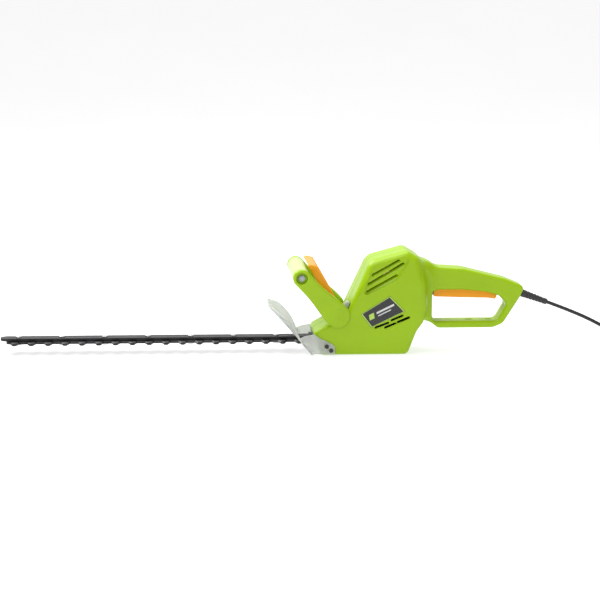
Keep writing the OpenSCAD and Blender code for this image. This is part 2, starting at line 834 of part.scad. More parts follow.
module cord_clamp() {
    outline = [for (c = [[-4, -10.6], [4, -10.6], [4, 10.6], [-4, 10.6]])
        clamp_at + c.x * clamp_along + c.y * clamp_across];
    color("#303034") difference() {
        union() {
            prism(outline, 3, 5.5);
            for (at = clamp_screws_at) rod_y(at, 3.2, 0.1, 3.1);
        }
        for (at = clamp_screws_at) rod_y(at, 1.4, -1, 8);
    }
}

module cord_clamp_screws() {
    color("silver") for (at = clamp_screws_at) {
        rod_y(at, 1.3, -8, 5.6);
        rod_y(at, 2.6, 5.5, 7.3);
    }
}

module cord_boot() {
    profile = [
        [cord_d / 2 + fit_gap, -5.6], [6.3, -5.6], [6.3, -3.7], [4.6, -3.7], [4.6, 0.8], [6, 0.8],
        [6, 6], [4.6, boot_len - 1], [4.2, boot_len], [cord_d / 2 + fit_gap, boot_len]
    ];
    color("#3a3a3d") translate([exit.x, 0, exit.y]) rotate([0, 90 + exit_drop, 0])
        rotate_extrude() polygon(profile);
}

module cord_run() {
    color("#202020") swept(cord_points, cord_d / 2, 10);
}

module on_plug() {
    translate([cord_points[len(cord_points) - 1].x, cord_points[len(cord_points) - 1].y, 0])
        rotate(plug_turn) children();
}

module plug_body() {
    outline = [
        [0.2, -5, 2], [10, -6.5, 6], [22, -17.5, 6], [37, -17.5, 3],
        [37, 17.5, 3], [22, 17.5, 6], [10, 6.5, 6], [0.2, 5, 2]
    ];
    color("#202020") on_plug() translate([0, 0, 0.2]) linear_extrude(14) polygon(rounded(outline));
}

module plug_pins() {
    color("silver") on_plug() for (y = [-9.3, 9.3]) translate([37.1, y, 7.2]) rotate([0, 90, 0])
        cylinder(r = 2, h = 19);
}

housing_left();
housing_right();
housing_screws();
label_left();
label_right();
front_arm_left();
front_arm_right();
front_grip_tube();
grip_tie_rod();
front_handle_screws();
front_switch_bar();
switch_bar_pins();
push_rod();
rod_boot();
front_switch();
hand_guard();
guard_screws();
guide_bar();
guide_bar_screws();
upper_blade();
lower_blade();
blade_bolts();
blade_spacers();
blade_nuts();
gearcase();
gearcase_cover();
gearcase_screws();
spindle_bearings();
gear_spindle();
drive_gear();
upper_eccentric();
lower_eccentric();
upper_conrod();
lower_conrod();
motor_bearings();
armature_shaft();
pinion();
cooling_fan();
armature_core();
armature_winding();
commutator();
stator_core();
field_coils();
brush_holders();
carbon_brushes();
rear_trigger();
trigger_pin();
trigger_spring();
rear_switch();
rear_plunger();
capacitor();
terminal_block();
inner_cord();
cord_clamp();
cord_clamp_screws();
cord_boot();
cord_run();
plug_body();
plug_pins();
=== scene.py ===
import itertools
import json
import math

import bmesh
import bpy
import numpy as np
from mathutils import Matrix, Vector


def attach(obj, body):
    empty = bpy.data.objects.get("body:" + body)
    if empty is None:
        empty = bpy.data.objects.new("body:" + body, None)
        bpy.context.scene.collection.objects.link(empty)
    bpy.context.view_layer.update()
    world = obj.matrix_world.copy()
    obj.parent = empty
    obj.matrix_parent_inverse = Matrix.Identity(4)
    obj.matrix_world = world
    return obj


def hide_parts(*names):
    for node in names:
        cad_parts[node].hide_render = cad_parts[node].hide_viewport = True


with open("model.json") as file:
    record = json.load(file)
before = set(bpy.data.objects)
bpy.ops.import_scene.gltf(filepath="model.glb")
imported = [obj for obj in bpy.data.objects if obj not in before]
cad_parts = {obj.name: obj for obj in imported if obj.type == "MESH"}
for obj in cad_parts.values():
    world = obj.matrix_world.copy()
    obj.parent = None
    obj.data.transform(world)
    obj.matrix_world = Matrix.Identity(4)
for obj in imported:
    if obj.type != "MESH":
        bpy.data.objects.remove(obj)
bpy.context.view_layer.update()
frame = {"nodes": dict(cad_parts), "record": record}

MM = 0.001

# ---- Camera ----

TARGET = Vector((-0.1035, 0, 0.0802))
AZIMUTH = -4.46
ELEVATION = 10.65
DISTANCE = 2.834
LENS = 108.65
ROLL = 0.39


def add_camera():
    camera = bpy.data.cameras.new("camera")
    camera.lens = LENS
    camera.clip_end = 50
    obj = bpy.data.objects.new("camera", camera)
    bpy.context.scene.collection.objects.link(obj)
    azimuth = math.radians(AZIMUTH)
    elevation = math.radians(ELEVATION)
    level = math.cos(elevation) * DISTANCE
    offset = Vector((math.sin(azimuth) * level, -math.cos(azimuth) * level, math.sin(elevation) * DISTANCE))
    obj.location = TARGET + offset
    turn = (-offset).to_track_quat("-Z", "Y")
    obj.rotation_euler = (turn.to_matrix() @ Matrix.Rotation(math.radians(ROLL), 3, "Z")).to_euler()
    bpy.context.scene.camera = obj


# ---- Materials ----


def new_material(name):
    material = bpy.data.materials.new(name)
    material.use_nodes = True
    tree = material.node_tree
    tree.nodes.clear()
    out = tree.nodes.new("ShaderNodeOutputMaterial")
    shader = tree.nodes.new("ShaderNodeBsdfPrincipled")
    tree.links.new(shader.outputs["BSDF"], out.inputs["Surface"])
    coords = tree.nodes.new("ShaderNodeTexCoord")
    return material, tree, shader, coords.outputs["Object"]


def noise(tree, coords, scale, detail=3.0, rough=0.55, stretch=None):
    """A noise value over the object's own coordinates, in metres. stretch scales each axis"""
    if stretch:
        mapping = tree.nodes.new("ShaderNodeMapping")
        mapping.inputs["Scale"].default_value = stretch
        tree.links.new(coords, mapping.inputs["Vector"])
        coords = mapping.outputs["Vector"]
    texture = tree.nodes.new("ShaderNodeTexNoise")
    texture.inputs["Scale"].default_value = scale
    texture.inputs["Detail"].default_value = detail
    texture.inputs["Roughness"].default_value = rough
    tree.links.new(coords, texture.inputs["Vector"])
    return texture.outputs["Fac"]


def remap(tree, value, low, high, start=0.3, end=0.7):
    node = tree.nodes.new("ShaderNodeMapRange")
    node.inputs["From Min"].default_value = start
    node.inputs["From Max"].default_value = end
    node.inputs["To Min"].default_value = low
    node.inputs["To Max"].default_value = high
    tree.links.new(value, node.inputs["Value"])
    return node.outputs["Result"]


def blend_colours(tree, value, first, second):
    ramp = tree.nodes.new("ShaderNodeValToRGB")
    ramp.color_ramp.elements[0].position = 0.3
    ramp.color_ramp.elements[0].color = (*first, 1)
    ramp.color_ramp.elements[1].position = 0.7
    ramp.color_ramp.elements[1].color = (*second, 1)
    tree.links.new(value, ramp.inputs["Fac"])
    return ramp.outputs["Color"]


def bump(tree, shader, height, depth):
    node = tree.nodes.new("ShaderNodeBump")
    node.inputs["Strength"].default_value = 1.0
    node.inputs["Distance"].default_value = depth
    tree.links.new(height, node.inputs["Height"])
    tree.links.new(node.outputs["Normal"], shader.inputs["Normal"])


def mixed_colour(colour, change):
    return [min(1.0, c * change) for c in colour]


def surface(
    name, colour, low, high, grain, depth, metallic=0.0, spread=0.05, stretch=None, gloss=0.5, patch=14
):
    """A material whose colour varies in broad patches, with roughness and bump from fine grain"""
    material, tree, shader, coords = new_material(name)
    broad = noise(tree, coords, patch, 4.0)
    tone = blend_colours(tree, broad, mixed_colour(colour, 1 - spread), mixed_colour(colour, 1 + spread))
    tree.links.new(tone, shader.inputs["Base Color"])
    fine = noise(tree, coords, grain, 3.0, 0.6, stretch)
    wear = noise(tree, coords, 60, 5.0, 0.65)
    both = tree.nodes.new("ShaderNodeMath")
    both.operation = "MULTIPLY_ADD"
    both.inputs[1].default_value = 0.5
    tree.links.new(fine, both.inputs[0])
    half = remap(tree, wear, 0.1, 0.4)
    tree.links.new(half, both.inputs[2])
    tree.links.new(remap(tree, both.outputs["Value"], low, high, 0.3, 0.7), shader.inputs["Roughness"])
    shader.inputs["Metallic"].default_value = metallic
    shader.inputs["Specular IOR Level"].default_value = gloss
    bump(tree, shader, fine, depth)
    return material


def frosted(name):
    material, tree, shader, coords = new_material(name)
    broad = noise(tree, coords, 18, 4.0)
    tone = blend_colours(tree, broad, (0.74, 0.76, 0.73), (0.82, 0.84, 0.81))
    tree.links.new(tone, shader.inputs["Base Color"])
    fine = noise(tree, coords, 900, 2.0)
    tree.links.new(remap(tree, fine, 0.38, 0.5), shader.inputs["Roughness"])
    shader.inputs["Transmission Weight"].default_value = 0.62
    shader.inputs["IOR"].default_value = 1.49
    bump(tree, shader, fine, 0.00004)
    return material


def banded(name, colour, gap_colour, pitch, axis, metallic, rough):
    """Fine bands across one axis: laminations, wire turns or commutator bars"""
    material, tree, shader, coords = new_material(name)
    wave = tree.nodes.new("ShaderNodeTexWave")
    wave.wave_type = "BANDS"
    wave.bands_direction = axis
    wave.inputs["Scale"].default_value = 1 / pitch / 3.183
    wave.inputs["Distortion"].default_value = 0.4
    wave.inputs["Detail"].default_value = 1.0
    tree.links.new(coords, wave.inputs["Vector"])
    tone = blend_colours(tree, wave.outputs["Fac"], gap_colour, colour)
    tree.links.new(tone, shader.inputs["Base Color"])
    broad = noise(tree, coords, 120, 4.0)
    tree.links.new(remap(tree, broad, rough - 0.08, rough + 0.1), shader.inputs["Roughness"])
    shader.inputs["Metallic"].default_value = metallic
    bump(tree, shader, wave.outputs["Fac"], 0.0001)
    return material


def make_materials():
    streaks = (1, 30, 30)
    return {
        "green_plastic": surface("green_plastic", (0.30, 0.49, 0.001), 0.26, 0.38, 1500, 0.00002, gloss=0.3),
        "orange_plastic": surface("orange_plastic", (0.86, 0.33, 0.003), 0.28, 0.4, 1500, 0.00002, gloss=0.3),
        # the grip tube's own green plastic, painted paler as a highlight from the light above
        "tube_green_painted_highlight": surface("tube_green_painted_highlight", (0.50, 0.70, 0.24), 0.3, 0.42, 1200, 0.00002),
        "clear_plastic": frosted("clear_plastic"),
        "dark_plastic": surface("dark_plastic", (0.022, 0.022, 0.024), 0.42, 0.6, 1100, 0.00004),
        "label_film": surface("label_film", (0.018, 0.018, 0.02), 0.22, 0.32, 900, 0.000008),
        "label_print": surface("label_print", (0.42, 0.62, 0.1), 0.3, 0.4, 900, 0.000008),
        "label_grey": surface("label_grey", (0.62, 0.63, 0.62), 0.3, 0.4, 900, 0.000008),
        "white_plastic": surface("white_plastic", (0.75, 0.75, 0.71), 0.4, 0.5, 1100, 0.00003),
        "boot_rubber": surface("boot_rubber", (0.03, 0.03, 0.033), 0.5, 0.68, 700, 0.00005),
        "cord_rubber": surface("cord_rubber", (0.012, 0.012, 0.013), 0.42, 0.56, 900, 0.00003),
        "grey_rubber": surface("grey_rubber", (0.36, 0.40, 0.32), 0.38, 0.52, 800, 0.00004),
        "blade_steel": surface(
            "blade_steel", (0.055, 0.055, 0.058), 0.26, 0.46, 500, 0.00002, 1.0, 0.3,
            stretch=streaks, patch=40,
        ),
        "bright_steel": surface(
            "bright_steel", (0.62, 0.62, 0.62), 0.22, 0.36, 900, 0.00002, 1.0, 0.08, patch=90
        ),
        "boss_grey": surface("boss_grey", (0.36, 0.37, 0.44), 0.3, 0.45, 900, 0.00003),
        "black_screw": surface("black_screw", (0.015, 0.015, 0.016), 0.34, 0.5, 700, 0.00003, patch=120),
        "bar_metal": surface(
            "bar_metal", (0.01, 0.01, 0.011), 0.36, 0.52, 420, 0.00003, 0, 0.3,
            stretch=streaks, gloss=0.35, patch=30,
        ),
        "cast_aluminium": surface("cast_aluminium", (0.3, 0.305, 0.31), 0.4, 0.58, 500, 0.00008, 1.0, 0.08),
        "sintered_steel": surface("sintered_steel", (0.24, 0.23, 0.22), 0.4, 0.6, 1600, 0.00005, 0.9, 0.15),
        "lamination_steel": banded(
            "lamination_steel", (0.36, 0.37, 0.39), (0.12, 0.12, 0.13), 0.0007, "Z", 0.9, 0.42
        ),
        "copper": banded("copper", (0.72, 0.30, 0.12), (0.3, 0.1, 0.04), 0.0009, "Z", 0.9, 0.34),
        "brass": surface("brass", (0.72, 0.52, 0.22), 0.28, 0.4, 700, 0.00003, 1.0, 0.1),
        "carbon": surface("carbon", (0.03, 0.03, 0.03), 0.6, 0.75, 1500, 0.00005),
    }


MATERIALS = make_materials()


def paint_cad_nodes():
    slots = {s["node"]: s["material_slot"] for s in frame["record"]["subparts"]}
    for node, obj in frame["nodes"].items():
        obj.data.materials.clear()
        obj.data.materials.append(MATERIALS[slots[node]])


# ---- Outlines and distance fields, in millimetres ----


def corner_arc(a, p, b, radius, steps):
    a, p, b = Vector(a), Vector(p), Vector(b)
    u, v = (a - p).normalized(), (b - p).normalized()
    half = math.acos(max(-1.0, min(1.0, u.dot(v)))) / 2
    centre = p + (u + v).normalized() * radius / math.sin(half)
    start = p + u * radius / math.tan(half) - centre
    end = p + v * radius / math.tan(half) - centre
    first = math.atan2(start.y, start.x)
    turn = math.atan2(end.y, end.x) - first
    turn = (turn + math.pi) % (2 * math.pi) - math.pi
    angles = [first + turn * i / steps for i in range(steps + 1)]
    return [(centre.x + radius * math.cos(a), centre.y + radius * math.sin(a)) for a in angles]


def rounded(corners, steps=8):
    """An outline with its corners rounded. Each corner is x, z and its radius"""
    count = len(corners)
    points = []
    for i, (x, z, radius) in enumerate(corners):
        before, after = corners[i - 1], corners[(i + 1) % count]
        points += corner_arc(before[:2], (x, z), after[:2], radius, steps)
    return points


def outline_distance(points, x, z):
    """The signed distance to a closed outline, negative inside"""
    x, z = np.broadcast_arrays(x, z)
    nearest = np.full(x.shape, 1e18)
    inside = np.zeros(x.shape, bool)
    for (ax, az), (bx, bz) in zip(points, points[1:] + points[:1]):
        ex, ez = bx - ax, bz - az
        length2 = ex * ex + ez * ez
        if length2 < 1e-12:
            continue
        px, pz = x - ax, z - az
        t = np.clip((px * ex + pz * ez) / length2, 0, 1)
        nearest = np.minimum(nearest, (px - t * ex) ** 2 + (pz - t * ez) ** 2)
        if ez != 0:
            crosses = (az > z) != (bz > z)
            inside ^= crosses & (px < ex * pz / ez)
    return np.where(inside, -1, 1) * np.sqrt(nearest)


def slab(d2, y, half, radius):
    """The distance to an outline given as d2, from -half to half in y, with rounded edges"""
    a = d2 + radius
    b = np.abs(y) - half + radius
    return np.minimum(np.maximum(a, b), 0) + np.hypot(np.maximum(a, 0), np.maximum(b, 0)) - radius


def join(a, b, k):
    """The union of two distances, with a fillet of about k"""
    h = np.maximum(k - np.abs(a - b), 0) / k
    return np.minimum(a, b) - h * h * k / 4


def cut(a, b, k=0.8):
    """a without b, with the edge rounded by about k"""
    return -join(-a, b, k)


def smooth(value, start, end):
    t = np.clip((value - start) / (end - start), 0, 1)
    return t * t * (3 - 2 * t)


def rod(x, z, at, radius):
    return np.hypot(x - at[0], z - at[1]) - radius


def box(x, y, z, low, high):
    """The distance to a box with square edges"""
    parts = [np.abs(v - (a + b) / 2) - (b - a) / 2 for v, a, b in zip((x, y, z), low, high)]
    return np.maximum(np.maximum(parts[0], parts[1]), parts[2])


# ---- Meshes from distance fields ----


def sample(field, at):
    """Trilinear values of a field at points given in grid steps"""
    top = np.array(field.shape) - 2
    base = np.clip(np.floor(at).astype(int), 0, top)
    part = np.clip(at - base, 0, 1)
    out = np.zeros(len(at))
    for dx, dy, dz in itertools.product((0, 1), repeat=3):
        weight = (
            np.where(dx, part[:, 0], 1 - part[:, 0])
            * np.where(dy, part[:, 1], 1 - part[:, 1])
            * np.where(dz, part[:, 2], 1 - part[:, 2])
        )
        out += weight * field[base[:, 0] + dx, base[:, 1] + dy, base[:, 2] + dz]
    return out


def surface_net(field):
    """Points in grid steps and quads of a field's zero surface, one point in each cell that it crosses"""
    shape = np.array(field.shape) - 1
    total = np.zeros((*shape, 3))
    number = np.zeros(shape)
    inside = field < 0
    edges = []
    for axis in range(3):
        first = [slice(None)] * 3
        second = [slice(None)] * 3
        first[axis], second[axis] = slice(None, -1), slice(1, None)
        a, b = field[tuple(first)], field[tuple(second)]
        cross = inside[tuple(first)] != inside[tuple(second)]
        place = np.argwhere(cross)
        share = a[cross] / (a[cross] - b[cross])
        point = place.astype(float)
        point[:, axis] += share
        others = [i for i in range(3) if i != axis]
        for du, dv in itertools.product((0, 1), repeat=2):
            cell = place.copy()
            cell[:, others[0]] -= du
            cell[:, others[1]] -= dv
            good = ((cell >= 0) & (cell < shape)).all(axis=1)
            spot = tuple(cell[good].T)
            np.add.at(total, spot, point[good])
            np.add.at(number, spot, 1)
        edges.append((axis, place, inside[tuple(first)][cross]))
    used = number > 0
    index = np.full(shape, -1)
    index[used] = np.arange(used.sum())
    points = total[used] / number[used][:, None]
    quads = []
    for axis, place, starts_inside in edges:
        u, v = (axis + 1) % 3, (axis + 2) % 3
        ok = (place[:, u] > 0) & (place[:, v] > 0) & (place[:, u] < shape[u]) & (place[:, v] < shape[v])
        place, starts_inside = place[ok], starts_inside[ok]
        ring = []
        for du, dv in ((1, 1), (0, 1), (0, 0), (1, 0)):
            cell = place.copy()
            cell[:, u] -= du
            cell[:, v] -= dv
            ring.append(index[tuple(cell.T)])
        quad = np.stack(ring, axis=1)
        quad[~starts_inside] = quad[~starts_inside][:, ::-1]
        quads.append(quad)
    return points, np.concatenate(quads)


def relax(points, quads, field, rounds):
    """Evens out the points and puts them back on the surface"""
    pairs = np.concatenate([quads[:, [i, (i + 1) % 4]] for i in range(4)])
    pairs = np.concatenate([pairs, pairs[:, ::-1]])
    count = np.bincount(pairs[:, 0], minlength=len(points))[:, None]
    for _ in range(rounds):
        sums = [np.bincount(pairs[:, 0], points[pairs[:, 1], i], len(points)) for i in range(3)]
        mean = np.stack(sums, axis=1)
        points = points * 0.5 + 0.5 * mean / np.maximum(count, 1)
        for _ in range(2):
            value = sample(field, points)
            halves = np.eye(3) * 0.5
            slope = np.stack([sample(field, points + e) - sample(field, points - e) for e in halves], axis=1)
            size2 = np.maximum((slope**2).sum(axis=1), 0.05)
            points = points - np.clip(value / size2, -0.5, 0.5)[:, None] * slope
    return points


def field_piece(name, low, high, step, distance, rounds=3):
    """A mesh of the zero surface of distance(x, y, z), in millimetres, within a box"""
    axes = [np.arange(low[i], high[i] + step, step) for i in range(3)]
    x, y, z = np.meshgrid(*axes, indexing="ij", sparse=True)
    field = np.broadcast_to(distance(x, y, z) / step, [len(a) for a in axes]).copy()
    points, quads = surface_net(field)
    points = relax(points, quads, field, rounds)
    points = points * step + np.array([a[0] for a in axes])
    mesh = bpy.data.meshes.new(name)
    mesh.from_pydata((points * MM).tolist(), [], quads.tolist())
    mesh.validate()
    return new_piece(name, mesh)


def new_piece(name, mesh):
    mesh.polygons.foreach_set("use_smooth", [True] * len(mesh.polygons))
    obj = bpy.data.objects.new(name, mesh)
    bpy.context.scene.collection.objects.link(obj)
    return obj


def finish_piece(obj, body, slot, replaced=(), material=None):
    obj.data.materials.clear()
    obj.data.materials.append(MATERIALS[material or slot])
    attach(obj, body)
    if replaced:
        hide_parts(*replaced)
    return obj


# ---- Housing ----

BODY = [
    (-73, 0, 8), (62, 0, 8), (76, 36, 26), (86, 50, 10), (92, 78, 20), (90, 112, 20),
    (78, 152, 14), (60, 163, 12), (2, 147, 22), (-34, 65, 2), (-86, 36, 8), (-79, 14, 60),
]
LOOP = [
    (80, 53, 8), (97, 49, 12), (113, 36.5, 10), (200, 36.5, 20), (216, 43, 16), (241.5, 84, 40),
    (250, 101.5, 8), (218, 114.5, 30), (150, 131.5, 60), (110, 134, 30), (80, 150, 9),
]
OPENING = [
    (102, 47.8, 9), (206, 47.8, 11), (221, 75, 7), (209, 87, 4), (190, 93.5, 20), (150, 97.5, 40),
    (102, 97.5, 6),
]
NECK = [
    (58, 47, 4), (82, 53, 8), (104, 46, 8), (112, 60, 8), (112, 122, 8), (100, 139, 10), (78, 149, 8),
    (58, 150, 4),
]
GRILLE = [(-7.5, 93, 3), (43, 118, 5), (62, 149, 5), (52, 154, 4), (8, 141, 8), (-4, 112, 10)]
GRILLE_SLOTS = [
    ((7, 124.6), (47, 146.3), 2.3), ((1, 110.2), (54, 141.6), 2.5), ((-1, 98.5), (44, 123.5), 2.3),
]
LOWER_SLOTS = [
    ((36, 55), (53, 62), 1.5), ((46, 52), (63, 59), 1.7), ((11, 43.5), (31, 51), 1.5),
    ((26, 43.5), (42, 50), 1.5),
]
SCREWS = [(-66, 38), (54, 13), (-12, 95), (70, 141), (108, 122), (176, 116), (223, 66), (120, 42.2), (82, 62)]
GUARD_SCREWS = [(-65, 15), (-58, 8.5)]
DRAIN_HOLE_X = (164, 195)
# radius, middle and half length along the cord's exit of each step of the boot's hole
BOOT_HOLE = [(4.65, -2, 6), (6.7, -5.75, 2.25), (6.4, 3.6, 3)]
HALF_WIDTH = 42
LOOP_HALF = 17.5
WALL = 2.6
SCREW_HEAD_Y = 10
PANEL_Y = 39.3
BEAD_Y = 41.5
BEAD_R = 1.3
LOUVRE_IN = 33.9
LOUVRE_SLOPE = 0.85
SLOT_LEAN = 0.5
HOUSING_STEP = 1.25
EXIT = (245.5, 89.8)
EXIT_DROP = math.radians(20)


def segment(x, z, first, last, radius):
    """The distance to a line from first to last, less a radius"""
    px, pz = x - first[0], z - first[1]
    ex, ez = last[0] - first[0], last[1] - first[1]
    t = np.clip((px * ex + pz * ez) / (ex * ex + ez * ez), 0, 1)
    return np.hypot(px - t * ex, pz - t * ez) - radius


def housing_form(x, y, z):
    """The outside of both halves"""
    side = np.abs(y)
    half = HALF_WIDTH - 2.5 * smooth(z, 105, 165) - 1.0 * smooth(-z, -14, 0)
    radius = 6.5 + 6 * smooth(z, 70, 140)
    body = slab(outline_distance(rounded(BODY), x, z), side, half, radius)
    loop = outline_distance(rounded(LOOP), x, z)
    opening = outline_distance(rounded(OPENING), x, z)
    handle = slab(np.maximum(loop, -opening), side, LOOP_HALF, 5.2)
    neck_half = LOOP_HALF + 18 * (1 - smooth(x, 66, 113))
    neck = slab(outline_distance(rounded(NECK), x, z), side, neck_half, 11)
    form = join(body, neck, 9)
    form = cut(form, opening + 0 * side, 4)
    return join(form, handle, 5)


def housing_half(sign):
    def distance(x, y, z):
        form = housing_form(x, y, z)
        side = np.abs(y)
        # grille panel, its slots and the lower slots
        grille = outline_distance(rounded(GRILLE), x, z)
        form = join(form, np.hypot(grille, side - BEAD_Y) - BEAD_R, 1.5)
        outer = form
        form = cut(form, np.maximum(grille, PANEL_Y - side), 1.6)
        shell = np.maximum(form, -(form + WALL))
        backing = np.maximum(np.maximum(grille - 2, LOUVRE_IN - side), outer + 1)
        shell = np.minimum(shell, np.maximum(backing, form))
        depth = np.maximum(PANEL_Y - side, 0) * LOUVRE_SLOPE
        for first, last, radius in GRILLE_SLOTS + LOWER_SLOTS:
            slot = segment(x + depth * SLOT_LEAN, z - depth, first, last, radius)
            shell = cut(shell, np.maximum(slot, 30 - side), 1.0)
        for at in SCREWS:
            post = np.maximum(rod(x, z, at, 4) + 0 * y, form + 0.5)
            shell = np.minimum(shell, post)
        # mouth of the blade, slot of the trigger, hole of the push rod
        mouth = box(x, y, z, (-200, -32, 10.5), (-60, 32, 29.1))
        shell = cut(shell, mouth, 1.0)
        trigger = box(x, y, z, (103.2, -10.2, 78), (207.2, 10.2, 103.6))
        shell = cut(shell, trigger, 0.8)
        shell = cut(shell, np.maximum(np.hypot(y + 24, z - 68) - 3, np.abs(x + 33) - 17), 0.6)
        # hole of the cord boot
        along = (x - EXIT[0]) * math.cos(EXIT_DROP) - (z - EXIT[1]) * math.sin(EXIT_DROP)
        across = (x - EXIT[0]) * math.sin(EXIT_DROP) + (z - EXIT[1]) * math.cos(EXIT_DROP)
        for radius, middle, half in BOOT_HOLE:
            hole = np.maximum(np.hypot(across, side) - radius, np.abs(along - middle) - half)
            shell = cut(shell, hole, 0.4)
        # drain holes in the lower bar
        for at in DRAIN_HOLE_X:
            hole = np.maximum(np.hypot(np.maximum(np.abs(x - at) - 3, 0), side) - 3, 44 - z)
            shell = cut(shell, np.maximum(hole, z - 54), 0.8)
        if sign > 0:
            for at in SCREWS:
                shell = cut(shell, np.maximum(rod(x, z, at, 3.3), SCREW_HEAD_Y - y), 0.8)
        for at in GUARD_SCREWS:
            shell = cut(shell, np.maximum(rod(x, z, at, 2.1), 35 - side), 0.4)
        # the halves meet in a fine groove
        return cut(shell, side - 0.1 + 0 * x, 0.7)

    if sign < 0:
        low, high = (-87, -43, -1), (252, 0.9, 165)
    else:
        low, high = (-87, -0.9, -1), (252, 43, 165)

    def one_side(x, y, z):
        return np.maximum(distance(x, y, z), -sign * y)

    name = "housing_shell_left" if sign < 0 else "housing_shell_right"
    node = "housing_left" if sign < 0 else "housing_right"
    shell = field_piece(name, low, high, HOUSING_STEP, one_side)
    return finish_piece(shell, "root", "green_plastic", [node])


# ---- Front handle ----

GRIP = (-106, 126)
FOOT = (-47, 62)
PIVOT = (-53, 82)
ARM_R = 13.4
FOOT_R = 19
RECESS_R = 8.8
# half widths over the arms' outer and inner sides, at the grip and at the foot
GRIP_OUT = 70.5
GRIP_IN = 58
FOOT_OUT = 51.8
FOOT_IN = 42.4
ARM_INSIDE = 42.3
ARM_SCREW_END = 41
# how far down the arm its outside starts and ends to fade into the body
FADE = (60, 97)
# the cross tube's middle as it stands to the switch bar when that is pressed
GRIP_FROM_PRESSED_BAR = (-102.8, 129.6)


def front_arm(sign):
    length = math.dist(GRIP, FOOT)
    ux, uz = (FOOT[0] - GRIP[0]) / length, (FOOT[1] - GRIP[1]) / length

    def distance(x, y, z):
        side = sign * y
        px, pz = x - GRIP[0], z - GRIP[1]
        along = px * ux + pz * uz
        t = np.clip(along / length, 0, 1)
        radius = ARM_R + (FOOT_R - ARM_R) * smooth(t, 0.25, 1)
        d2 = np.hypot(px - t * length * ux, pz - t * length * uz) - radius
        outer = GRIP_OUT - (GRIP_OUT - FOOT_OUT) * t
        inner = GRIP_IN - (GRIP_IN - FOOT_IN) * t
        middle, half = (outer + inner) / 2, (outer - inner) / 2
        edge = np.minimum(3.6, half - 0.2)
        arm = slab(d2, side - middle, half, edge)
        # the foot runs out into the side of the body
        flush = 74 - 14 * smooth(along, FADE[0] - 24, FADE[0]) - 15.6 * smooth(along, FADE[0], FADE[1])
        arm = -join(-arm, -(side - flush), 2)
        recess = np.maximum(rod(x, z, GRIP, RECESS_R), GRIP_IN + 5 - side)
        arm = cut(arm, recess, 1.0)
        arm = cut(arm, rod(x, z, GRIP, 3.1) + 0 * y, 0.4)
        arm = cut(arm, np.maximum(rod(x, z, PIVOT, 2.6), side - 50), 0.4)
        return np.maximum(arm, ARM_INSIDE - side)

    ys = (41, 72) if sign > 0 else (-72, -41)
    low, high = (-121, ys[0], 41), (-26, ys[1], 141)
    name, node = ("arm_right", "front_arm_right") if sign > 0 else ("arm_left", "front_arm_left")
    return finish_piece(field_piece(name, low, high, 0.9, distance), "root", "green_plastic", [node])


def lathe(name, profile, origin, axis, sides=72):
    """A closed ring-shaped mesh about an axis. The profile is radius and place along the axis, in mm"""
    axis = Vector(axis).normalized()
    u = axis.orthogonal().normalized()
    v = axis.cross(u)
    mesh = bpy.data.meshes.new(name)
    bm = bmesh.new()
    rings = []
    for radius, place in profile:
        centre = Vector(origin) + axis * place
        rings.append([
            bm.verts.new((centre + (u * math.cos(a) + v * math.sin(a)) * radius) * MM)
            for a in (2 * math.pi * i / sides for i in range(sides))
        ])
    for ring, after in zip(rings, rings[1:] + rings[:1]):
        for i in range(sides):
            k = (i + 1) % sides
            bm.faces.new((ring[i], ring[k], after[k], after[i]))
    bmesh.ops.recalc_face_normals(bm, faces=bm.faces)
    bm.to_mesh(mesh)
    bm.free()
    return new_piece(name, mesh)


def soften(obj, angle=35):
    """Shades an object smooth with its sharp edges kept"""
    obj.data.polygons.foreach_set("use_smooth", [True] * len(obj.data.polygons))
    obj.data.set_sharp_from_angle(angle=math.radians(angle))


def grip_tube():
    half = 57.95
    profile = [(10, -half + 0.6), (10.6, -half), (12.2, -half), (12.8, -half + 0.3), (13, -half + 0.9)]
    # the soft ends of the tube have two fine grooves each
    for place in (-half + 5, -half + 8):
        profile += [(13, place - 0.7), (12.65, place - 0.3), (12.65, place + 0.3), (13, place + 0.7)]
    profile += [(r, -p) for r, p in reversed(profile)]
    tube = lathe("grip_tube", profile, (GRIP[0], 0, GRIP[1]), (0, 1, 0), 96)
    soften(tube)
    # the tube gets the paler green, a painted highlight, instead of plain green_plastic
    return finish_piece(tube, "root", "green_plastic", ["front_grip_tube"], "tube_green_painted_highlight")


def switch_bar():
    section = [(-92.5, 138, 1.6), (-82, 133, 1.6), (-80.5, 141, 1.8), (-95, 144, 1.8)]
    cheek = [
        (-92.5, 138, 2), (-58.6, 78, 5.5), (-53, 75.5, 5.5), (-46.8, 80, 5.5), (-49, 87, 5.5),
        (-80.5, 141, 1.8), (-95, 144, 1.8),
    ]

    def distance(x, y, z):
        side = np.abs(y)
        cross = slab(outline_distance(rounded(section), x, z), side, 45, 1.6)
        t = smooth(-z, -138, -84)
        arms = slab(outline_distance(rounded(cheek), x, z), side - (42.5 - 3.9 * t), 2.5 + 0.1 * t, 1.6)
        bar = join(cross, arms, 2.5)
        bar = cut(bar, rod(x, z, GRIP_FROM_PRESSED_BAR, 13.3) + 0 * y, 0.4)
        finger = box(x, y, z, (-52, -41, 63), (-46.2, -18, 76))
        bar = join(bar, finger, 2.0)
        return cut(bar, rod(x, z, PIVOT, 2.55) + 0 * y, 0.4)

    piece = field_piece("switch_bar", (-97, -46, 61), (-44, 46, 146), 0.85, distance, rounds=2)
    return finish_piece(piece, "switch_bar", "orange_plastic", ["front_switch_bar"])


